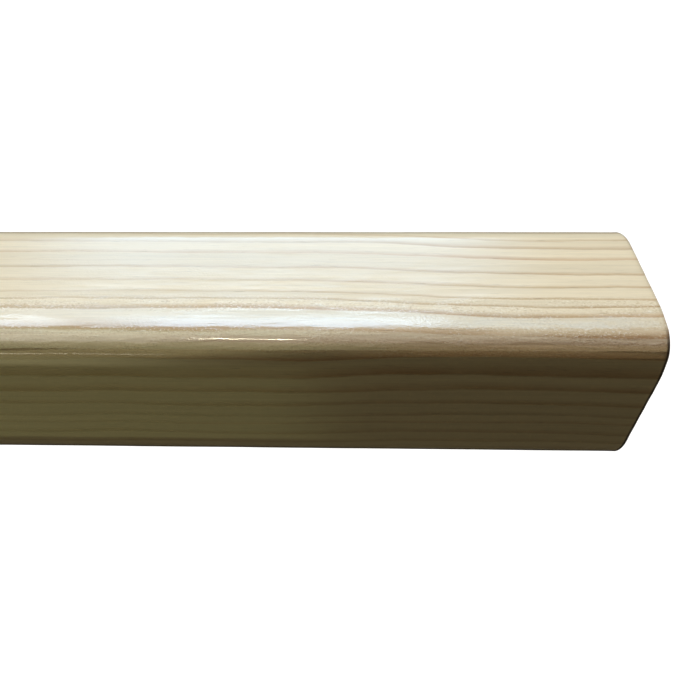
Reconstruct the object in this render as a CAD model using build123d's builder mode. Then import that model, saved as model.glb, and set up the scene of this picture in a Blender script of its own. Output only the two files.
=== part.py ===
"""Outside-corner moulding in clear-coated pine: one machined length of solid wood.

The section is an equal-legged right angle. It lies as it would on a level
floor, ridge up, resting on the two inner arrises of its legs.

Frame: millimetres, +X along the length, +Y across towards the first leg,
+Z up. The origin is on the floor under the middle of the length.

Section coordinates: p runs along the first leg and q along the second, both
measured from the virtual sharp outer corner.
"""

from build123d import *
from math import asin, cos, degrees, radians, sin, sqrt
import os

# ---- driving dimensions (mm) -------------------------------------------------
leg = 34.0            # outer width of each leg, from the virtual corner
thickness = 7.5       # thickness of each leg
length = 1200.0       # stock length

apex_radius = 5.5     # round nose of the outer corner
flank_radius = 30.0   # slight crown that blends the nose into each flat face
flank_angle = 12.0    # degrees of turn in each crowned flank

edge_radius = 12.0    # long round that lets each face fall away to its outer edge
edge_turn = 32.0      # degrees it has turned where it meets the square edge face
edge_arris = 0.4      # broken corner between that round and the edge face

inner_arris = 0.6     # eased inner edge of each leg, which the length rests on
inner_corner = 0.8    # small root radius in the internal corner
end_ease = 0.35       # sanded arris round both square-cut ends

# ---- derived -------------------------------------------------------------------
s = sqrt(0.5)
g = radians(flank_angle)
# apex arc centre lies on the bisector at p = q = nose_offset
nose_offset = flank_radius - (flank_radius - apex_radius) * cos(g)
# where the crowned flank becomes the flat face, measured from the virtual corner
flank_start = flank_radius - (flank_radius - apex_radius) * (cos(g) - sin(g))
# the edge round starts here along the leg, and its arris is tangent to it and to the edge face
edge_start = leg - edge_radius * sin(radians(edge_turn))
arris_turn = degrees(asin((leg - edge_arris - edge_start) / (edge_radius - edge_arris)))
arris_depth = edge_radius - (edge_radius - edge_arris) * cos(radians(arris_turn))
# height of the virtual corner when the eased inner arrises touch the floor
deepest = leg + thickness - inner_arris * (2.0 - sqrt(2.0))
corner_height = deepest * s


def at(p, q):
    """Section point from (p, q) to the sketch plane: across (Y) and up (Z)."""
    return ((p - q) * s, corner_height - (p + q) * s)


# ---- the moulding --------------------------------------------------------------
with BuildPart() as corner_moulding:
    with BuildSketch(Plane.YZ.offset(-length / 2)) as section:
        with BuildLine() as outline:
            # nose, from the apex of the ridge towards the first leg
            CenterArc(at(nose_offset, nose_offset), apex_radius, 90, flank_angle - 45)
            # crowned flank
            CenterArc(at(flank_start, flank_radius), flank_radius,
                      45 + flank_angle, -flank_angle)
            # flat outer face
            Line(at(flank_start, 0), at(edge_start, 0))
            # the face falls away to the outer edge of the leg, and its corner is broken
            CenterArc(at(edge_start, edge_radius), edge_radius, 45, -arris_turn)
            CenterArc(at(leg - edge_arris, arris_depth), edge_arris,
                      45 - arris_turn, arris_turn - 90)
            # square edge face
            Line(at(leg, arris_depth), at(leg, thickness - inner_arris))
            # eased inner arris
            CenterArc(at(leg - inner_arris, thickness - inner_arris), inner_arris,
                      -45, -90)
            # inner face
            Line(at(leg - inner_arris, thickness), at(thickness + inner_corner, thickness))
            # half of the root radius in the internal corner
            CenterArc(at(thickness + inner_corner, thickness + inner_corner),
                      inner_corner, 45, 45)
            # second leg is the mirror image of the first
            mirror(about=Plane.YZ)
        make_face()
    extrude(amount=length)

    # both ends are cut square and lightly sanded round the arris
    ends = corner_moulding.faces().filter_by(Axis.X).sort_by(Axis.X)
    chamfer((ends[0].edges() + ends[-1].edges()), length=end_ease)

corner_moulding.part.label = "corner_moulding"

os.makedirs("parts", exist_ok=True)
export_step(corner_moulding.part, "parts/corner_moulding.step")

size = corner_moulding.part.bounding_box().size
print("corner_moulding volume", round(corner_moulding.part.volume, 1), "size", size)
print("virtual corner height", round(corner_height, 3), "flank start", round(flank_start, 3),
      "nose offset", round(nose_offset, 3))
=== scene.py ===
"""Outside-corner moulding in clear-lacquered pine: the look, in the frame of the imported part.

Lengths in the code are millimetres unless a name ends in _m; everything handed to
the scene is in metres. X runs along the length, Y across the ridge, Z up.
"""

import math

import bpy
import numpy as np
from mathutils import Matrix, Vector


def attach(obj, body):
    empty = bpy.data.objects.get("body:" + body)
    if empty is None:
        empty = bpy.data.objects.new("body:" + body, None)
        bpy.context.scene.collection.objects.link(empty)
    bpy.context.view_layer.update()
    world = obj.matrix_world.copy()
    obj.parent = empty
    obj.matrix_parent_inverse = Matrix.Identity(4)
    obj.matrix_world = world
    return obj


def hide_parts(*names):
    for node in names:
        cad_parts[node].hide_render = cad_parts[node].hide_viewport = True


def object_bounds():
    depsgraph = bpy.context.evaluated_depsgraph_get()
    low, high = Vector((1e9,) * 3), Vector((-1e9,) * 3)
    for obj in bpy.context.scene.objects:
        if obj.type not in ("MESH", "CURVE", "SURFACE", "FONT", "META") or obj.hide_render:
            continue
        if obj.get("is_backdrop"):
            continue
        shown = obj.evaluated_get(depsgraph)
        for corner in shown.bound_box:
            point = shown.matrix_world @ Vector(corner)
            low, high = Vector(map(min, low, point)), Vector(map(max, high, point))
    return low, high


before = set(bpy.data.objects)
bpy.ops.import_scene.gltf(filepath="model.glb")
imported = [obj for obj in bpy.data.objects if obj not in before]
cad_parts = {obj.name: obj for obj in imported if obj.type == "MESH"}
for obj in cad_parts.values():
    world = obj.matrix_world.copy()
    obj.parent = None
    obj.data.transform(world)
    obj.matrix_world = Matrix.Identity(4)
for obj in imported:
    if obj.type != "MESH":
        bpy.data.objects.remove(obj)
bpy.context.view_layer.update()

MM = 0.001
ROOT = math.sqrt(0.5)

# ------------------------------------------------------------------------------
# The section, as in the part: p runs along the +Y leg and q along the -Y leg,
# both from the virtual sharp corner.
# ------------------------------------------------------------------------------
LEG, THICK, LENGTH = 34.0, 7.5, 1200.0
NOSE_R, FLANK_R, FLANK_A = 5.5, 30.0, math.radians(12.0)
EDGE_R, EDGE_A, EDGE_ARRIS = 12.0, math.radians(32.0), 0.4
ARRIS, ROOT_R = 0.6, 0.8
NOSE_C = FLANK_R - (FLANK_R - NOSE_R) * math.cos(FLANK_A)
FLANK_START = FLANK_R - (FLANK_R - NOSE_R) * (math.cos(FLANK_A) - math.sin(FLANK_A))
EDGE_START = LEG - EDGE_R * math.sin(EDGE_A)
ARRIS_TURN = math.asin((LEG - EDGE_ARRIS - EDGE_START) / (EDGE_R - EDGE_ARRIS))
ARRIS_DEPTH = EDGE_R - (EDGE_R - EDGE_ARRIS) * math.cos(ARRIS_TURN)
CORNER_Z = (LEG + THICK - ARRIS * (2 - math.sqrt(2))) * ROOT


def arc_points(centre, radius, start, turn, n):
    """n points from the arc's start up to, but not including, its end; angles in degrees."""
    a = np.radians(start + turn * np.arange(n) / n)
    return np.stack([centre[0] + radius * np.cos(a), centre[1] + radius * np.sin(a)], 1)


def line_points(p0, p1, n):
    w = np.arange(n)[:, None] / n
    return np.array(p0) * (1 - w) + np.array(p1) * w


def half_outside(step):
    """(p, q) points of the first leg's outside, from its inner arris to just short of the apex."""
    flank, arris = math.degrees(FLANK_A), math.degrees(ARRIS_TURN)
    return np.vstack([
        line_points((LEG, THICK - ARRIS), (LEG, ARRIS_DEPTH), 6),
        arc_points((LEG - EDGE_ARRIS, ARRIS_DEPTH), EDGE_ARRIS, 0, -(90 - arris), 5),
        arc_points((EDGE_START, EDGE_R), EDGE_R, -(90 - arris), -arris, int(round(EDGE_R * ARRIS_TURN / step))),
        line_points((EDGE_START, 0), (FLANK_START, 0), int(round((EDGE_START - FLANK_START) / step))),
        arc_points((FLANK_START, FLANK_R), FLANK_R, -90, -flank, int(round(FLANK_R * FLANK_A / step))),
        arc_points((NOSE_C, NOSE_C), NOSE_R, -90 - flank, -(45 - flank),
                   int(round(NOSE_R * math.radians(45 - flank) / (step * 0.8)))),
    ])


def half_inside(step):
    """(p, q) points of the first leg's inside, from the middle of the root to the start of its edge face."""
    n_face = int(round((LEG - ARRIS - THICK - ROOT_R) / step))
    return np.vstack([
        arc_points((THICK + ROOT_R, THICK + ROOT_R), ROOT_R, -135, 45, 3),
        line_points((THICK + ROOT_R, THICK), (LEG - ARRIS, THICK), n_face),
        arc_points((LEG - ARRIS, THICK - ARRIS), ARRIS, 90, -90, 4),
    ])


def other_leg(points):
    """The same points on the second leg, in the opposite order."""
    return points[::-1, ::-1]


half_o, half_i = half_outside(0.36), half_inside(1.2)
apex = np.array([[NOSE_C - NOSE_R * ROOT, NOSE_C - NOSE_R * ROOT]])
# one closed ring: over the outside from the +Y leg to the -Y leg, then back along the inside
outer_pq = np.vstack([half_o, apex, other_leg(half_o)])
inner_pq = np.vstack([other_leg(half_i)[:-1], half_i])
ring_pq = np.vstack([outer_pq, inner_pq])
N_OUT, N_RING = len(outer_pq), len(ring_pq)

ring_y = (ring_pq[:, 0] - ring_pq[:, 1]) * ROOT
ring_z = CORNER_Z - (ring_pq[:, 0] + ring_pq[:, 1]) * ROOT

seg = np.hypot(np.roll(ring_y, -1) - ring_y, np.roll(ring_z, -1) - ring_z)
s_at = np.r_[0, np.cumsum(seg)]                  # developed length at each point; the last closes the ring
s_out, s_all = s_at[N_OUT - 1], s_at[-1]

# outward normals of the section
t_y = np.roll(ring_y, -1) - np.roll(ring_y, 1)
t_z = np.roll(ring_z, -1) - np.roll(ring_z, 1)
t_len = np.hypot(t_y, t_z)
norm_y, norm_z = t_z / t_len, -t_y / t_len
if norm_z[N_OUT // 2] < 0:
    norm_y, norm_z = -norm_y, -norm_z

# ------------------------------------------------------------------------------
# The wood: growth rings are nearly flat layers across Y, because the pith lies
# far out on the +Y side. The depth in the tree is in millimetres.
# ------------------------------------------------------------------------------
rng = np.random.default_rng(20417)

PITH_R, PITH_Z = 115.0, 13.0
# Y on the outside, at the +X end, where each ring's late wood is darkest; the share of the
# ring that is late wood; how dark it gets
RINGS = [
    (22.25, 0.36, 0.40), (20.37, 0.30, 0.62), (18.49, 0.42, 0.72), (16.03, 0.34, 0.88),
    (12.88, 0.20, 0.95), (10.23, 0.25, 0.90), (8.00, 0.22, 1.00), (6.62, 0.34, 0.90),
    (4.82, 0.48, 1.00), (1.18, 0.50, 1.00), (-1.19, 0.22, 0.42), (-2.65, 0.78, 0.92),
    (-6.01, 0.62, 0.96), (-8.97, 0.50, 0.86), (-11.73, 0.36, 0.80), (-14.23, 0.32, 0.50),
    (-15.86, 0.42, 0.52), (-18.18, 0.40, 0.62), (-20.33, 0.40, 0.48), (-21.90, 0.40, 0.50),
]


def outside_z(y):
    """Height of the outside surface at Y."""
    up = norm_z[:N_OUT] > 0.05
    order = np.argsort(ring_y[:N_OUT][up])
    return np.interp(y, ring_y[:N_OUT][up][order], ring_z[:N_OUT][up][order])


edges = [y - 0.2 - (outside_z(y) - PITH_Z) ** 2 / (2 * PITH_R) for y, _, _ in RINGS]
shares = [w for _, w, _ in RINGS]
darks = [d for _, _, d in RINGS]
while edges[0] < 30.0:
    edges.insert(0, edges[0] + rng.uniform(1.8, 3.0))
    shares.insert(0, rng.uniform(0.25, 0.5))
    darks.insert(0, rng.uniform(0.5, 0.9))
while edges[-1] > -30.0:
    edges.append(edges[-1] - rng.uniform(1.7, 2.8))
    shares.append(rng.uniform(0.3, 0.5))
    darks.append(rng.uniform(0.45, 0.9))
# ring i lies between edges[i] and edges[i + 1], and its late wood is at edges[i + 1]
edges, shares, darks = np.array(edges), np.minimum(1.25 * np.array(shares[1:]), 0.9), np.array(darks[1:])
N_TREE = len(shares)


def steps(x, *terms):
    """Sum of smooth steps (place, half width, rise)."""
    return sum(0.5 * rise * (1 + np.tanh((x - at) / wide)) for at, wide, rise in terms)


# how far the rings stand across, along the length: the last 120 mm, then the rest of the stick
UPPER_NEAR = ((557.4, 13.4, -1.506), (570.9, 5.4, -0.108), (590.2, 5.4, 0.129))
LOWER_NEAR = ((545.7, 7.0, 0.818), (589.2, 7.5, -0.473), (493.5, 3.8, 0.258), (510.3, 3.8, -0.258))
UPPER_FAR = ((446, 14, -0.7), (400, 24, 1.7), (338, 20, -1.2), (262, 34, -1.9), (196, 15, 0.9),
             (131, 26, 2.3), (58, 18, -1.1), (-12, 32, -2.1), (-74, 17, 0.8), (-141, 30, 2.2),
             (-214, 20, -1.3), (-268, 26, 1.2), (-345, 36, -2.4), (-402, 15, 0.9), (-470, 28, 1.7),
             (-545, 22, -0.8))
LOWER_FAR = ((448, 12, 0.8), (406, 20, -1.5), (350, 26, 1.1), (283, 18, 1.2), (222, 30, -2.2),
             (149, 16, 0.7), (92, 24, 1.5), (24, 30, -1.6), (-36, 16, 0.8), (-97, 28, -1.4),
             (-170, 22, 2.0), (-236, 26, -1.7), (-309, 18, 0.9), (-372, 30, 1.5), (-433, 16, -1.0),
             (-501, 30, -1.6), (-560, 18, 0.9))
WAVES = ((0.10, 71.0, 9.0, 14.0, 0.3), (0.06, 43.0, -13.0, 8.0, 1.9), (0.045, 23.0, 7.0, -6.0, 4.1),
         (0.03, 13.0, -5.0, 5.0, 2.7), (0.02, 7.5, 4.0, 9.0, 5.2))


def drift(x, near, far):
    """Zero at the +X end."""
    total = steps(x, *near) - sum(rise for _, _, rise in near)
    return total + steps(x, *far) - sum(rise for _, _, rise in far)


def tree_depth(x, y, z):
    """Constant along a growth ring."""
    side = 1 / (1 + np.exp(-(y - 1.1) / 0.95))
    shift = side * drift(x, UPPER_NEAR, UPPER_FAR) + (1 - side) * drift(x, LOWER_NEAR, LOWER_FAR)
    wave = sum(a * np.sin(2 * np.pi * (x / lx + y / ly + z / lz) + ph) for a, lx, ly, lz, ph in WAVES)
    return y + wave - shift - (z - PITH_Z) ** 2 / (2 * PITH_R)


def ring_time(depth):
    """Ring number plus how far through its season, 0 at the start of the early wood."""
    return np.interp(-depth, -edges, np.arange(len(edges)))


def late_wood(t):
    """0 in early wood to 1 at the end of the darkest late wood."""
    i = np.clip(np.floor(t).astype(int), 0, N_TREE - 1)
    phase = t - np.floor(t)
    up = np.clip((phase - (1 - shares[i])) / shares[i], 0, 1) ** 1.5
    down = np.clip((1 - phase) * 16, 0, 1)
    return np.minimum(up, down) * darks[i]


# ------------------------------------------------------------------------------
# The mesh: rings of section points along X, closed by a graded grid at each end
# ------------------------------------------------------------------------------
ROW = 3.6
EASE = 0.32
turns = np.radians([90, 66, 44, 22, 0])          # round the sanded end arris, from the end face inwards
inner_rows = np.linspace(-LENGTH / 2 + 2.4, LENGTH / 2 - 2.4, int(round((LENGTH - 4.8) / ROW)) + 1)
rows = ([(-LENGTH / 2, -1, a) for a in turns] + [(-LENGTH / 2 + 1.6, 0, 0.0)] + [(x, 0, 0.0) for x in inner_rows]
        + [(LENGTH / 2 - 1.6, 0, 0.0)] + [(LENGTH / 2, 1, a) for a in turns[::-1]])
N_ROW = len(rows)

# the arris is sanded by hand, so its radius wanders; one corner at each end is knocked rounder
ease = {}
for end, at, wide, more, sharp, ph in ((1, 21.5, 2.5, 0.60, -22.0, 0.6), (-1, -20.5, 3.4, 0.45, 19.0, 2.2)):
    knock = np.exp(-((ring_y - at) / wide) ** 2) * (np.arange(N_RING) < N_OUT)
    less = 1 - 0.6 * np.exp(-((ring_y - sharp) / 3.0) ** 2)
    ease[end] = EASE * less * (1 + 0.22 * np.sin(ring_y * 1.1 + ph) * np.cos(ring_z * 0.7)) + more * knock

X = np.empty((N_ROW, N_RING))
Y = np.empty_like(X)
Z = np.empty_like(X)
for r, (x, end, a) in enumerate(rows):
    e = ease[end] if end else np.zeros(N_RING)
    X[r] = x - end * e * (1 - math.sin(a))
    inwards = np.minimum(e, 0.36) * (1 - math.cos(a))      # less than any arris of the section
    Y[r] = ring_y - norm_y * inwards
    Z[r] = ring_z - norm_z * inwards

# relief, inwards only, so that the part keeps its size: soft early wood sinks between the
# ribs of late wood, and the faces keep the faint wave of the cutter head
T = ring_time(tree_depth(X, Y, Z))
sink = 0.012 * (1 - late_wood(T))
for amp, lx, ls, ph in ((0.010, 47.0, 23.0, 0.4), (0.007, 19.0, 9.0, 2.1), (0.004, 8.1, 4.6, 3.3)):
    sink = sink + amp * (1 + np.sin(2 * np.pi * (X / lx + s_at[None, :N_RING] / ls) + ph
                                    + 1.7 * np.sin(2 * np.pi * X / (lx * 3.7) + ph)))
sink = sink * np.array([1.0 if end == 0 else 0.4 for _, end, _ in rows])[:, None]
sink = sink * np.clip(ring_z / 1.5, 0, 1)[None, :]          # nothing leaves the floor
Y = Y - norm_y[None, :] * sink
Z = Z - norm_z[None, :] * sink

verts = [np.stack([X.ravel(), Y.ravel(), Z.ravel()], 1)]
times = [T.ravel()]
r_id, c_id = np.meshgrid(np.arange(N_ROW - 1), np.arange(N_RING), indexing="ij")
r_id, c_id = r_id.ravel(), c_id.ravel()
a0, b0 = r_id * N_RING + c_id, r_id * N_RING + (c_id + 1) % N_RING
body = np.stack([a0, b0, b0 + N_RING, a0 + N_RING], -1)
faces = [tuple(int(i) for i in f) for f in body]

# the long faces are unrolled into two strips of the map: outside, then inside
on_inside = c_id >= N_OUT - 1
body_uv = np.empty((len(body), 4, 2))
for k, (dr, dc) in enumerate(((0, 0), (0, 1), (1, 1), (1, 0))):
    s = s_at[c_id + dc]
    body_uv[:, k, 0] = 0.004 + 0.992 * (X[r_id + dr, (c_id + dc) % N_RING] + LENGTH / 2) / LENGTH
    body_uv[:, k, 1] = np.where(on_inside, 0.662 + 0.242 * (s - s_out) / (s_all - s_out), 0.006 + 0.646 * s / s_out)

# material zones: 0 lacquered outside, 1 planed inside, 2 sawn ends
LACQUERED, PLANED, SAWN = 0, 1, 2
zones = list(np.where(on_inside, PLANED, LACQUERED))

# end faces: lines across the leg from each outside point to its foot on the inside
LAYERS = 9
inside = np.r_[0, np.arange(N_RING - 1, N_OUT - 2, -1)]        # from the +Y leg round to the -Y leg
inside_share = (s_all - np.r_[s_all, s_at[inside[1:]]]) / (s_all - s_out)
edge_run = THICK - ARRIS - ARRIS_DEPTH + EDGE_ARRIS * 0.4
foot_out, foot_in = [0.0, edge_run / s_out], [0.0, 0.035]
for p in (27.0, 12.0):
    foot_out.append((edge_run + LEG - p) / s_out)
    foot_in.append(0.5 * (LEG - ARRIS - p) / (LEG - ARRIS - THICK))
foot_out += [0.5] + [1 - v for v in foot_out[::-1]]
foot_in += [0.5] + [1 - v for v in foot_in[::-1]]
foot = np.interp(s_at[:N_OUT] / s_out, foot_out, foot_in)
count = N_ROW * N_RING
for end in (-1, 1):
    row = 0 if end < 0 else N_ROW - 1
    rim = row * N_RING + np.arange(N_RING)
    oy, oz = Y[row, :N_OUT], Z[row, :N_OUT]
    fy, fz = np.interp(foot, inside_share, Y[row, inside]), np.interp(foot, inside_share, Z[row, inside])
    grid = [rim[:N_OUT]]
    for k in range(1, LAYERS + 1):
        w = min(k / LAYERS, 0.975)
        gy, gz = (oy * (1 - w) + fy * w)[1:-1], (oz * (1 - w) + fz * w)[1:-1]
        gx = np.full(N_OUT - 2, end * LENGTH / 2)
        verts.append(np.stack([gx, gy, gz], 1))
        times.append(ring_time(tree_depth(gx, gy, gz)))
        grid.append(np.r_[rim[0], count + np.arange(N_OUT - 2), rim[N_OUT - 1]])
        count += N_OUT - 2
    made = [(grid[k][j], grid[k + 1][j], grid[k + 1][j + 1], grid[k][j + 1])
            for k in range(LAYERS) for j in range(N_OUT - 1)]
    # the last layer is stitched to the inside rim
    last, edge_ids = grid[LAYERS], rim[inside]
    j = m = 0
    while j < N_OUT - 1 or m < len(inside) - 1:
        if m == len(inside) - 1 or (j < N_OUT - 1 and foot[j + 1] <= inside_share[m + 1]):
            made.append((last[j], edge_ids[m], last[j + 1]))
            j += 1
        else:
            made.append((last[j], edge_ids[m], edge_ids[m + 1]))
            m += 1
    for f in made:
        f = list(dict.fromkeys(int(i) for i in f))
        if len(f) > 2:
            faces.append(tuple(f if end < 0 else f[::-1]))
            zones.append(SAWN)

verts = np.vstack(verts)
times = np.concatenate(times)

me = bpy.data.meshes.new("corner_moulding_wood")
me.from_pydata((verts * MM).tolist(), [], faces)
me.update()
piece = bpy.data.objects.new("corner_moulding_wood", me)
bpy.context.scene.collection.objects.link(piece)


def end_uv(x, y, z):
    """Each end is laid out as its two legs in line."""
    side = 1 if y >= 0 else -1
    p, q = (CORNER_Z - z) * ROOT + abs(y) * ROOT, (CORNER_Z - z) * ROOT - abs(y) * ROOT
    return (0.255 if x < 0 else 0.745) + side * 0.235 * p / LEG, 0.916 + 0.078 * min(max(q / THICK, 0.0), 1.0)


layer = me.uv_layers.new(name="OFBake")
loop_uv = np.empty((len(me.loops), 2))
loop_uv[:len(body) * 4] = body_uv.reshape(-1, 2)
for poly in me.polygons[len(body):]:
    for li in poly.loop_indices:
        loop_uv[li] = end_uv(*verts[me.loops[li].vertex_index])
layer.data.foreach_set("uv", loop_uv.ravel())
me.attributes.new("tree_time", "FLOAT", "POINT").data.foreach_set("value", times.astype(np.float32))
# painted shade along the long outer arrises, where the faces roll over: full on the -Y edge, about half as strong on
# the +Y edge
painted_long_arris_shade = np.zeros(N_RING)
for near in (0, N_OUT - 1):
    run = np.abs(s_at[:N_OUT] - s_at[near])
    painted_long_arris_shade[:N_OUT] += np.interp(run, [edge_run - 0.5, edge_run - 0.25, edge_run + 1.5, edge_run + 2.6],
                                   [0.25, 1, 1, 0]) * (0.45 if near == 0 else 1.0)
painted_arris_shade = painted_long_arris_shade[None, :] * (np.arange(N_RING) < N_OUT) * np.ones((N_ROW, 1))
painted_arris_shade = np.r_[painted_arris_shade.ravel(), np.zeros(len(verts) - painted_arris_shade.size)]
me.attributes.new("painted_arris_shade", "FLOAT", "POINT").data.foreach_set("value", painted_arris_shade.astype(np.float32))
me.polygons.foreach_set("material_index", np.array(zones, np.int32))
me.polygons.foreach_set("use_smooth", np.ones(len(me.polygons), bool))
print("mesh:", sum(len(p.vertices) - 2 for p in me.polygons), "triangles,", N_RING, "round the section,", N_ROW, "rows")

# ------------------------------------------------------------------------------
# Materials
# ------------------------------------------------------------------------------


class Graph:
    """Small helper that lays nodes and links them."""

    def __init__(self, tree):
        self.tree = tree

    def node(self, kind, **settings):
        n = self.tree.nodes.new(kind)
        for key, value in settings.items():
            setattr(n, key, value)
        return n

    def put(self, socket, value):
        if isinstance(value, bpy.types.NodeSocket):
            self.tree.links.new(value, socket)
        else:
            socket.default_value = value

    def math(self, op, a, b=None, c=None, clamp=False):
        n = self.node("ShaderNodeMath", operation=op, use_clamp=clamp)
        for socket, value in zip(n.inputs, (a, b, c)):
            if value is not None:
                self.put(socket, value)
        return n.outputs[0]

    def mix(self, factor, a, b, blend="MIX"):
        n = self.node("ShaderNodeMix", data_type="RGBA", blend_type=blend, clamp_factor=True)
        self.put(n.inputs[0], factor)
        self.put(n.inputs[6], a)
        self.put(n.inputs[7], b)
        return n.outputs[2]

    def times(self, colour, factor):
        n = self.node("ShaderNodeVectorMath", operation="SCALE")
        self.put(n.inputs[0], colour)
        self.put(n.inputs["Scale"], factor)
        return n.outputs[0]

    def range(self, value, lo, hi, to_lo, to_hi, smooth=False):
        n = self.node("ShaderNodeMapRange", clamp=True,
                      interpolation_type="SMOOTHSTEP" if smooth else "LINEAR")
        self.put(n.inputs[0], value)
        for i, v in enumerate((lo, hi, to_lo, to_hi)):
            self.put(n.inputs[i + 1], v)
        return n.outputs[0]

    def stretched(self, coords, sx, sy, sz, at=(0.0, 0.0, 0.0), turn=(0.0, 0.0, 0.0)):
        """Object coordinates, turned and then divided by the sizes sx, sy, sz in millimetres."""
        n = self.node("ShaderNodeMapping", vector_type="TEXTURE")
        self.put(n.inputs[0], coords)
        n.inputs[1].default_value = [v * 0.01 for v in at]
        n.inputs[2].default_value = turn
        n.inputs[3].default_value = (sx * MM, sy * MM, sz * MM)
        return n.outputs[0]

    def noise(self, vector, detail=2.0, rough=0.5, scale=1.0, distortion=0.0):
        n = self.node("ShaderNodeTexNoise", noise_dimensions="3D")
        self.put(n.inputs["Vector"], vector)
        n.inputs["Scale"].default_value = scale
        n.inputs["Detail"].default_value = detail
        n.inputs["Roughness"].default_value = rough
        n.inputs["Distortion"].default_value = distortion
        return n.outputs["Fac"]

    def bump(self, height, distance_mm, strength=1.0):
        n = self.node("ShaderNodeBump")
        n.inputs["Strength"].default_value = strength
        n.inputs["Distance"].default_value = distance_mm * MM
        self.put(n.inputs["Height"], height)
        return n.outputs[0]


def pine(g, early, late_colour, pinkish, contrast=1.0, paler=0.0):
    """(colour, late wood amount, fibre noise, coordinates) of pine at the shaded point.

    paler is how much the late wood fades on the +Y side away from the +X end.
    """
    coords = g.node("ShaderNodeTexCoord").outputs["Object"]
    time = g.node("ShaderNodeAttribute", attribute_type="GEOMETRY", attribute_name="tree_time").outputs["Fac"]
    # the edge of a ring is a little ragged along the fibres
    fuzz = g.noise(g.stretched(coords, 4.2, 0.55, 0.55), detail=3.0, rough=0.6)
    time = g.math("MULTIPLY_ADD", g.math("SUBTRACT", fuzz, 0.5), 0.12, time)
    number = g.math("FLOOR", time)
    phase = g.math("SUBTRACT", time, number)
    # share and darkness of each ring's late wood
    ramp = g.node("ShaderNodeValToRGB")
    ramp.color_ramp.interpolation = "CONSTANT"
    parts = ramp.color_ramp.elements
    for i in range(N_TREE):
        colour = (float(shares[i]), float(darks[i]), float(0.5 + 0.5 * math.sin(i * 2.399)), 1.0)
        if i < 2:
            parts[i].position = i / N_TREE
            parts[i].color = colour
        else:
            parts.new(i / N_TREE).color = colour
    g.put(ramp.inputs[0], g.math("DIVIDE", g.math("ADD", number, 0.5), float(N_TREE)))
    split = g.node("ShaderNodeSeparateColor")
    g.put(split.inputs[0], ramp.outputs[0])
    share, dark, tone = split.outputs[0], split.outputs[1], split.outputs[2]
    start = g.math("SUBTRACT", 1.0, share)
    up = g.math("POWER", g.math("DIVIDE", g.math("SUBTRACT", phase, start), share, clamp=True), 1.1)
    down = g.math("MULTIPLY", g.math("SUBTRACT", 1.0, phase), 9.0, clamp=True)
    amount = g.math("MULTIPLY", g.math("MINIMUM", up, down), dark)
    # every ring fades and strengthens along its length in its own way
    sep = g.node("ShaderNodeSeparateXYZ")
    g.put(sep.inputs[0], coords)
    place = g.node("ShaderNodeCombineXYZ")
    g.put(place.inputs[0], g.math("MULTIPLY", sep.outputs[0], 1000 / 26.0))
    g.put(place.inputs[1], g.math("MULTIPLY", number, 3.71))
    g.put(place.inputs[2], g.math("MULTIPLY", sep.outputs[2], 1000 / 40.0))
    strength = g.noise(place.outputs[0], detail=2.5, rough=0.6)
    amount = g.math("MULTIPLY", amount, g.range(strength, 0.30, 0.70, 0.70, 1.30), clamp=True)
    amount = g.math("MULTIPLY", amount, contrast, clamp=True)
    if paler:
        away = g.math("MULTIPLY", g.range(sep.outputs[0], 0.520, 0.572, 1.0, 0.0, smooth=True),
                      g.range(sep.outputs[1], 0.0055, 0.0090, 0.0, paler))
        amount = g.math("MULTIPLY", amount, g.math("SUBTRACT", 1.0, away))
    # a thin second line, or false ring, inside some of the wider rings
    false_at = g.math("ABSOLUTE", g.math("SUBTRACT", phase, g.range(tone, 0.0, 1.0, 0.45, 0.72)))
    false_line = g.math("MULTIPLY", g.range(false_at, 0.0, 0.035, 1.0, 0.0), g.range(strength, 0.52, 0.68, 0.0, 0.34))
    amount = g.math("MAXIMUM", amount, false_line)
    # fibres, and slow changes of tone
    fibre = g.noise(g.stretched(coords, 16.0, 0.20, 0.20), detail=4.0, rough=0.62)
    fibre_wide = g.noise(g.stretched(coords, 55.0, 0.9, 0.9, (3.1, 0.4, 7.7)), detail=3.0, rough=0.55)
    slow = g.noise(g.stretched(coords, 90.0, 14.0, 14.0, (1.7, 5.2, 0.3)), detail=2.0)
    colour = g.mix(amount, early, late_colour)
    warm = g.range(slow, 0.38, 0.66, 0.0, 0.75, smooth=True)
    warm = g.math("MULTIPLY", warm, g.range(amount, 0.0, 0.35, 0.28, 1.0))
    colour = g.mix(warm, colour, g.mix(amount, early, pinkish))
    shade = g.math("MULTIPLY", g.range(fibre, 0.25, 0.75, 0.925, 1.065), g.range(fibre_wide, 0.3, 0.7, 0.955, 1.04))
    shade = g.math("MULTIPLY", shade, g.range(tone, 0.0, 1.0, 0.965, 1.03))
    # short resin canals: thin grey-brown dashes, mostly in the late wood
    canal = g.noise(g.stretched(coords, 3.4, 0.13, 0.13, (0.6, 9.1, 2.2)), detail=1.0)
    canal = g.math("MULTIPLY", g.range(canal, 0.64, 0.74, 0.0, 0.5), g.range(amount, 0.0, 0.4, 0.35, 1.0))
    colour = g.mix(canal, g.times(colour, shade), (0.25, 0.17, 0.10, 1.0))
    return colour, amount, fibre, coords


def material(name):
    mat = bpy.data.materials.new(name)
    mat.use_nodes = True
    mat.node_tree.nodes.clear()
    g = Graph(mat.node_tree)
    shader = g.node("ShaderNodeBsdfPrincipled")
    out = g.node("ShaderNodeOutputMaterial")
    mat.node_tree.links.new(shader.outputs[0], out.inputs[0])
    return mat, g, shader


EARLY = (0.800, 0.655, 0.420, 1.0)
LATE = (0.500, 0.322, 0.146, 1.0)
PINK = (0.560, 0.330, 0.170, 1.0)


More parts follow.
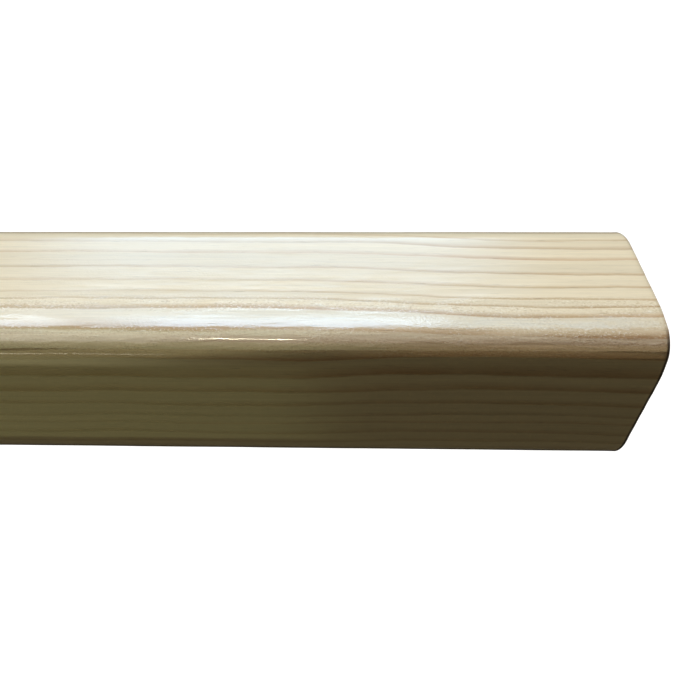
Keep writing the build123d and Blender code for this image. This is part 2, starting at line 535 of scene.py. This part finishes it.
def lacquered():
    """The outside, under a clear gloss lacquer that has dried with fine nibs in it."""
    mat, g, shader = material("pine_lacquered")
    colour, amount, fibre, coords = pine(g, EARLY, LATE, PINK, contrast=1.12, paler=0.42)
    sep = g.node("ShaderNodeSeparateXYZ")
    g.put(sep.inputs[0], coords)
    along, across = sep.outputs[0], sep.outputs[1]
    # painted shade on the arrises, and round the ends most of all on the -Y side, the side in shade; the same mask
    # dulls the lacquer there
    painted_arris_shade = g.node("ShaderNodeAttribute", attribute_type="GEOMETRY", attribute_name="painted_arris_shade").outputs["Fac"]
    painted_end_arris_shade = g.range(g.math("ABSOLUTE", along), 0.59925, 0.59955, 0.0, 1.0)
    painted_end_arris_shade = g.math("MULTIPLY", painted_end_arris_shade, g.range(across, 0.0, 0.0035, 1.0, 0.12))
    painted_arris_shade = g.math("MAXIMUM", painted_arris_shade, painted_end_arris_shade)
    # nibs and fibre ends under the film, in patches, thickest where the nose was sanded by hand;
    # the wood's own shading carries them as well
    nibs = g.noise(g.stretched(coords, 0.50, 0.30, 0.30), detail=1.5, rough=0.6)
    drawn = g.noise(g.stretched(coords, 5.5, 0.42, 0.42, (4.0, 1.0, 2.0)), detail=2.0)
    scuff = g.noise(g.stretched(coords, 0.26, 2.2, 2.2, (1.0, 7.0, 3.0), (0.0, 0.0, 0.7)), detail=1.0)
    patch = g.noise(g.stretched(coords, 11.0, 2.2, 2.2, (2.0, 3.0, 9.0)), detail=2.0, rough=0.6)
    nose = g.range(g.math("ABSOLUTE", g.math("SUBTRACT", across, 0.0030)), 0.0040, 0.0062, 1.0, 0.0, smooth=True)
    rough_here = g.range(patch, 0.36, 0.60, 0.30, 1.0, smooth=True)
    height = g.math("MULTIPLY_ADD", drawn, 0.35, nibs)
    height = g.math("MULTIPLY", g.math("MULTIPLY_ADD", scuff, 0.45, height), rough_here)
    # a strip beside the apex is rubbed smooth, less so near the +X end, so it carries fewer nibs and fewer painted
    # glints
    rubbed = g.range(g.math("ABSOLUTE", g.math("SUBTRACT", across, 0.0042)), 0.0009, 0.0018, 1.0, 0.0, smooth=True)
    rubbed = g.math("MULTIPLY", rubbed, g.range(along, 0.553, 0.572, 0.85, 0.35))
    # the zone where the nibs stand thickest, which also takes the painted glints
    nib_and_painted_glint_zone = g.math("MULTIPLY", g.math("MULTIPLY", nose, rough_here), g.math("SUBTRACT", 1.0, rubbed))
    # painted glints and painted dark specks on the nose: light and dark dots in the colour that stand in for light
    # sparkling off the lacquer's nibs
    painted_glints = g.math("MULTIPLY", g.range(nibs, 0.56, 0.68, 0.0, 0.50), nib_and_painted_glint_zone)
    painted_dark_specks = g.math("MULTIPLY", g.range(nibs, 0.44, 0.33, 0.0, 0.40), nib_and_painted_glint_zone)
    colour = g.mix(painted_glints, colour, (0.97, 0.88, 0.68, 1.0))
    colour = g.mix(painted_dark_specks, colour, (0.42, 0.26, 0.10, 1.0))
    # painted shade: where the arris mask is full, the colour goes nearly black
    g.put(shader.inputs["Base Color"], g.mix(g.math("MULTIPLY", painted_arris_shade, 0.93), colour, (0.075, 0.062, 0.055, 1.0)))
    g.put(shader.inputs["Roughness"], g.range(fibre, 0.2, 0.8, 0.36, 0.50))
    g.put(shader.inputs["Specular IOR Level"], g.math("MULTIPLY_ADD", painted_arris_shade, -0.25, 0.35))
    g.put(shader.inputs["Coat Weight"], g.math("MULTIPLY_ADD", painted_arris_shade, -0.9, 1.0))
    shader.inputs["Coat Roughness"].default_value = 0.06
    shader.inputs["Coat IOR"].default_value = 1.5
    wood_height = g.math("MULTIPLY", height, g.math("MULTIPLY_ADD", nose, 0.9, 0.5))
    g.put(shader.inputs["Normal"], g.bump(g.math("MULTIPLY_ADD", amount, 0.12, wood_height), 0.032))
    coat_height = g.math("MULTIPLY", height, g.math("MULTIPLY_ADD", nib_and_painted_glint_zone, 0.6, 0.4))
    coat_height = g.math("MULTIPLY", coat_height, g.range(across, 0.0006, 0.0018, 0.22, 1.0))
    g.put(shader.inputs["Coat Normal"], g.bump(coat_height, 0.040))
    return mat


def planed():
    """The unlacquered inside: drier, with faint knife marks across."""
    mat, g, shader = material("pine_planed")
    colour, amount, fibre, coords = pine(g, (0.760, 0.600, 0.375, 1.0), (0.520, 0.335, 0.165, 1.0),
                                         (0.560, 0.320, 0.170, 1.0), contrast=0.85)
    sep = g.node("ShaderNodeSeparateXYZ")
    g.put(sep.inputs[0], coords)
    wobble = g.noise(g.stretched(coords, 38.0, 12.0, 12.0), detail=1.0)
    cut = g.math("MULTIPLY_ADD", sep.outputs[0], 2 * math.pi * 1000 / 1.9, g.math("MULTIPLY", wobble, 5.0))
    patches = g.noise(g.stretched(coords, 60.0, 10.0, 10.0, (8.0, 0.0, 3.0)), detail=2.0)
    marks = g.math("MULTIPLY", g.math("SINE", cut), g.range(patches, 0.35, 0.7, 0.15, 1.0))
    g.put(shader.inputs["Base Color"], g.times(colour, g.math("MULTIPLY_ADD", marks, 0.018, 1.0)))
    g.put(shader.inputs["Roughness"], g.range(fibre, 0.2, 0.8, 0.58, 0.74))
    shader.inputs["Specular IOR Level"].default_value = 0.4
    fuzz = g.noise(g.stretched(coords, 1.4, 0.16, 0.16), detail=3.0, rough=0.65)
    height = g.math("MULTIPLY_ADD", marks, 0.22, fuzz)
    g.put(shader.inputs["Normal"], g.bump(g.math("MULTIPLY_ADD", amount, 0.5, height), 0.018))
    return mat


def sawn():
    """The cut ends: open end grain, darker, with the ring arcs, fine rays and saw marks."""
    mat, g, shader = material("pine_end_grain")
    colour, amount, fibre, coords = pine(g, (0.640, 0.455, 0.245, 1.0), (0.330, 0.185, 0.080, 1.0),
                                         (0.400, 0.200, 0.090, 1.0), contrast=1.15)
    cells = g.noise(g.stretched(coords, 30.0, 0.10, 0.10), detail=3.0, rough=0.7)
    rays = g.noise(g.stretched(coords, 30.0, 1.6, 0.09, (2.0, 4.0, 6.0)), detail=2.0)
    saw = g.noise(g.stretched(coords, 30.0, 0.55, 7.0, (5.0, 0.0, 1.0)), detail=2.0, rough=0.6)
    shade = g.math("MULTIPLY", g.range(cells, 0.3, 0.7, 0.84, 1.12), g.range(rays, 0.35, 0.7, 0.95, 1.08))
    shade = g.math("MULTIPLY", shade, g.range(saw, 0.3, 0.7, 0.94, 1.05))
    g.put(shader.inputs["Base Color"], g.times(colour, shade))
    g.put(shader.inputs["Roughness"], g.range(cells, 0.3, 0.7, 0.66, 0.82))
    shader.inputs["Specular IOR Level"].default_value = 0.3
    height = g.math("MULTIPLY_ADD", saw, 1.6, cells)
    g.put(shader.inputs["Normal"], g.bump(g.math("MULTIPLY_ADD", amount, 0.7, height), 0.022))
    return mat


for mat in (lacquered(), planed(), sawn()):
    me.materials.append(mat)

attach(piece, "root")
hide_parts("corner_moulding")

# ------------------------------------------------------------------------------
# Stage: a plain white floor that runs into a white backdrop
# ------------------------------------------------------------------------------
scene = bpy.context.scene

floor_mat, g, shader = material("studio_floor")
shader.inputs["Base Color"].default_value = (0.9, 0.9, 0.9, 1.0)
shader.inputs["Roughness"].default_value = 1.0
shader.inputs["Specular IOR Level"].default_value = 0.0
floor_mesh = bpy.data.meshes.new("studio_floor")
floor_mesh.from_pydata([(-30, -30, 0), (30, -30, 0), (30, 30, 0), (-30, 30, 0)], [], [(0, 1, 2, 3)])
floor_mesh.materials.append(floor_mat)
floor = bpy.data.objects.new("studio_floor", floor_mesh)
scene.collection.objects.link(floor)
floor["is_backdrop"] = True
for flag in ("visible_diffuse", "visible_glossy", "visible_shadow"):
    setattr(floor, flag, False)

back_mat = bpy.data.materials.new("studio_backdrop")
back_mat.use_nodes = True
back_mat.node_tree.nodes.clear()
g = Graph(back_mat.node_tree)
glow = g.node("ShaderNodeEmission")
glow.inputs[0].default_value = (1.0, 1.0, 1.0, 1.0)
glow.inputs[1].default_value = 1.06
back_mat.node_tree.links.new(glow.outputs[0], g.node("ShaderNodeOutputMaterial").inputs[0])
dome_mesh = bpy.data.meshes.new("studio_backdrop")
n_seg = 48
ring = [(24 * math.cos(2 * math.pi * i / n_seg), 24 * math.sin(2 * math.pi * i / n_seg)) for i in range(n_seg)]
dome_mesh.from_pydata([(x, y, z) for z in (-1.0, 18.0) for x, y in ring], [],
                      [(i, (i + 1) % n_seg, n_seg + (i + 1) % n_seg, n_seg + i) for i in range(n_seg)]
                      + [tuple(range(2 * n_seg - 1, n_seg - 1, -1))])
dome_mesh.materials.append(back_mat)
dome = bpy.data.objects.new("studio_backdrop", dome_mesh)
scene.collection.objects.link(dome)
dome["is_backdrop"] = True
for flag in ("visible_diffuse", "visible_glossy", "visible_transmission", "visible_shadow", "visible_volume_scatter"):
    setattr(dome, flag, False)

# ------------------------------------------------------------------------------
# Light
# ------------------------------------------------------------------------------
for_floor = bpy.data.collections.new("lit_floor")
for_floor.objects.link(floor)
for_wood = bpy.data.collections.new("lit_wood")
for_wood.objects.link(piece)


def panel(name, corner_m, wide_m, high_m, radiance, soft=(0.0, 0.0, 0.0, 0.0), diffuse=True, glossy=True):
    """A soft light: a rectangle from a corner along two edge vectors, which shines along high x wide.

    radiance is red, green and blue; soft is the share of the panel over which it fades out at the
    start and the end of wide and at the start and the end of high.
    """
    c, w, h = (np.array(v, float) for v in (corner_m, wide_m, high_m))
    lw, lh = np.linalg.norm(w), np.linalg.norm(h)
    peak = max(radiance)
    data = bpy.data.lights.new(name, "AREA")
    data.shape = "RECTANGLE"
    data.size, data.size_y = lw, lh
    data.energy = peak * math.pi * lw * lh
    data.color = [v / peak for v in radiance]
    if max(soft) > 0:
        data.use_nodes = True
        g = Graph(data.node_tree)
        glow = next(n for n in data.node_tree.nodes if n.type == "EMISSION")
        split = g.node("ShaderNodeSeparateXYZ")
        g.put(split.inputs[0], g.node("ShaderNodeNewGeometry").outputs["Parametric"])
        fade = 1.0
        for i, share in enumerate(soft):
            if share > 0:
                at = split.outputs[i // 2]
                at = at if i % 2 == 0 else g.math("SUBTRACT", 1.0, at)
                fade = g.math("MULTIPLY", g.range(at, 0.0, share, 0.0, 1.0, smooth=True), fade)
        g.put(glow.inputs["Strength"], fade)
    o = bpy.data.objects.new(name, data)
    scene.collection.objects.link(o)
    x, y = w / lw, h / lh
    z = np.cross(x, y)
    m = c + w / 2 + h / 2
    o.matrix_world = Matrix([[x[i], y[i], z[i], m[i]] for i in range(3)] + [[0, 0, 0, 1]])
    o.visible_camera = False
    o.visible_diffuse = diffuse
    o.visible_glossy = glossy
    o.light_linking.receiver_collection = for_wood
    return o


def wall(name, side, x0, x1, low, high, radiance, soft=(0.0, 0.0, 0.0, 0.0), away=2.0, **kw):
    """An upright panel at Y = side * away metres, between two elevations in degrees seen from the moulding.

    soft is how far it fades out, in metres of X at x0 and x1 and in degrees at low and high.
    """
    z0, z1 = (0.02 + away * math.tan(math.radians(e)) for e in (low, high))
    fade_low = (0.02 + away * math.tan(math.radians(low + soft[2])) - z0) / (z1 - z0)
    fade_high = (z1 - 0.02 - away * math.tan(math.radians(high - soft[3]))) / (z1 - z0)
    at_x0, at_x1 = soft[0] / (x1 - x0), soft[1] / (x1 - x0)
    if side > 0:
        return panel(name, (x1, away, z0), (x0 - x1, 0, 0), (0, 0, z1 - z0), radiance,
                     (at_x1, at_x0, fade_low, fade_high), **kw)
    return panel(name, (x0, -away, z0), (x1 - x0, 0, 0), (0, 0, z1 - z0), radiance,
                 (at_x0, at_x1, fade_low, fade_high), **kw)


def ceiling(name, x0, x1, y0, y1, radiance, soft=(0.0, 0.0, 0.0, 0.0), away=2.0, **kw):
    """A level panel overhead, facing down; soft is in metres, at x0, x1, y0 and y1."""
    share = (soft[0] / (x1 - x0), soft[1] / (x1 - x0), soft[2] / (y1 - y0), soft[3] / (y1 - y0))
    return panel(name, (x0, y0, away), (x1 - x0, 0, 0), (0, y1 - y0, 0), radiance, share, **kw)


SHADE = dict(glossy=False)                       # lights the wood itself
SHINE = dict(diffuse=False)                      # is only mirrored in the lacquer
NEAR_X, FAR = 0.55, 6.0
LAMPS = (
    # the daylight that lights the wood comes in low, from the far left
    (wall, "key", (1, -1.6, 0.1, 9.0, 26.0), (0.0, 0.0, 0.0, 0.0), SHADE, (11.3, 7.2, 5.8)),
    (wall, "key_low", (1, -1.6, 0.1, 0.0, 9.0), (0.0, 0.0, 0.0, 0.0), SHADE, (34.5, 48, 59)),
    (wall, "fill", (-1, -1.6, 0.3, 0.0, 15.0), (0.0, 0.0, 0.0, 0.0), SHADE, (1.05, 1.01, 0.65)),
    # what the lacquer mirrors: the window, low over the +Y side; it ends a little past the +X end
    (wall, "window", (1, -0.62, 0.96, 12.5, 28.5), (0.45, 0.28, 5.0, 5.5), SHINE, (5.89, 8.91, 12.16)),
    (wall, "window_far", (1, -1.7, -0.35, 13.5, 31.0), (0.2, 0.4, 5.0, 6.0), SHINE, (6.06, 7.96, 9.81)),
    (wall, "window_side", (1, 0.75, 1.9, 16.0, 28.0), (0.2, 0.5, 4.0, 4.0), SHINE, (0.5, 1.8, 3.1)),
    (wall, "sill", (1, -1.05, 1.15, 3.0, 16.0), (0.6, 0.55, 4.0, 3.0), SHINE, (0.85, 1.93, 3.1)),
    (wall, "table", (1, -0.9, 1.25, -30.0, -1.0), (0.6, 0.5, 0.0, 5.0), SHINE, (1.23, 2.18, 3.33)),
    (wall, "sky", (1, -1.7, 0.35, 33.0, 64.0), (0.0, 0.4, 4.0, 0.0), SHINE, (1.35, 1.8, 1.2)),
    (wall, "sky_side", (1, 1.0, 2.4, 31.0, 62.0), (0.4, 0.0, 4.0, 0.0), SHINE, (1.8, 1.95, 1.55)),
    (ceiling, "ceiling", (-1.7, 0.1, 0.0, 1.06), (0.0, 0.6, 0.0, 0.0), SHINE, (3.1, 3.15, 2.45)),
    (ceiling, "ceiling_side", (-0.5, 2.2, 0.0, 1.06), (0.6, 0.5, 0.0, 0.0), SHINE, (0.35, 0.15, 0.1)),
    (ceiling, "ceiling_back", (-1.7, 1.2, -1.06, 0.0), (0.0, 1.2, 0.0, 0.0), SHINE, (2, 2.12, 1.2)),
    (wall, "room_high", (-1, -1.7, 0.3, 28.0, 64.0), (0.0, 0.8, 5.0, 0.0), SHINE, (1.71, 1.43, 0.67)),
    (wall, "room_mid", (-1, -1.7, 0.3, 13.0, 33.0), (0.0, 1.2, 4.0, 5.0), SHINE, (1.59, 1.49, 0.74)),
    (wall, "room_low", (-1, -1.7, 0.6, -14.0, 17.0), (0.0, 0.5, 0.0, 4.0), SHINE, (0.32, 0.32, 0.12)),
    (ceiling, "room_warm_top", (0.5, 2.8, -1.06, 0.0), (0.9, 0.4, 0.0, 0.3), SHINE, (2, 1.6, 0.9)),
    (wall, "room_warm", (-1, 0.2, 2.6, 34.0, 64.0), (1.0, 0.4, 6.0, 0.0), SHINE, (0.78, 0.45, 0.19)),
    # two thin bright lines: the edges of a lamp
    (ceiling, "lamp_edge", (-0.2, 0.3, 0.43, 0.50), (0.25, 0.08, 0.02, 0.02), SHINE, (72, 68, 52)),
    (wall, "lamp_edge_back", (-1, -1.6, -0.35, 41.0, 43.5), (0.0, 0.5, 0.8, 0.8), SHINE, (7, 6.5, 5)),
)
# each at its own distance, because a lamp hides one that lies in the same plane. The ones that light
# the wood stand six times farther off in the same directions, so that the whole length gets the same light.
lamps = {}
for k, (make, name, where, soft, kind, radiance) in enumerate(LAMPS):
    away = 2.0 + 0.012 * k
    if kind is SHADE:
        away *= FAR
        side, x0, x1, low, high = where
        where = (side, NEAR_X + (x0 - NEAR_X) * FAR, NEAR_X + (x1 - NEAR_X) * FAR, low, high)
    lamps[name] = make(name, *where, radiance, soft=soft, away=away, **kind)
# level light on the +X end, and light thrown up from the floor on the inside
panel("end_light", (12.0, -1.5, -0.6), (0.0, 3.0, 0.0), (0.0, 0.0, 0.8), (66.0, 59.0, 48.0), **SHADE)
panel("floor_bounce", (-3.0, 2.0, -2.5), (6.0, 0.0, 0.0), (0.0, -4.0, 0.0), (0.75, 0.70, 0.60), **SHADE)
# the floor has a lamp of its own straight above, so it stays an even white
sun = bpy.data.lights.new("floor_lamp", "SUN")
sun.energy = 3.9
sun.angle = math.radians(9)
sun_o = bpy.data.objects.new("floor_lamp", sun)
scene.collection.objects.link(sun_o)
sun_o.location = (0, 0, 3)
sun_o.light_linking.receiver_collection = for_floor

world = bpy.data.worlds.new("studio")
scene.world = world
world.use_nodes = True
world.node_tree.nodes["Background"].inputs[0].default_value = (1.0, 0.88, 0.68, 1.0)
world.node_tree.nodes["Background"].inputs[1].default_value = 0.03

# ------------------------------------------------------------------------------
# Camera: close over the +X end, looking down on the ridge
# ------------------------------------------------------------------------------
cam_data = bpy.data.cameras.new("camera")
cam_data.sensor_width = 36.0
cam_data.lens = 31.5372
cam_data.clip_start, cam_data.clip_end = 0.004, 100.0
cam = bpy.data.objects.new("camera", cam_data)
scene.collection.objects.link(cam)
right = (0.99962096, 0.00491195, -0.02708873)
down = (0.00579535, -0.99945070, 0.03262984)
ahead = (-0.02691357, -0.03277447, -0.99910034)
eye = (0.54763388, 0.00267686, 0.13165444)
cam.matrix_world = Matrix([[right[i], -down[i], -ahead[i], eye[i]] for i in range(3)] + [[0, 0, 0, 1]])
scene.camera = cam

scene.view_settings.view_transform = "Standard"
scene.view_settings.look = "None"

low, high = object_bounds()
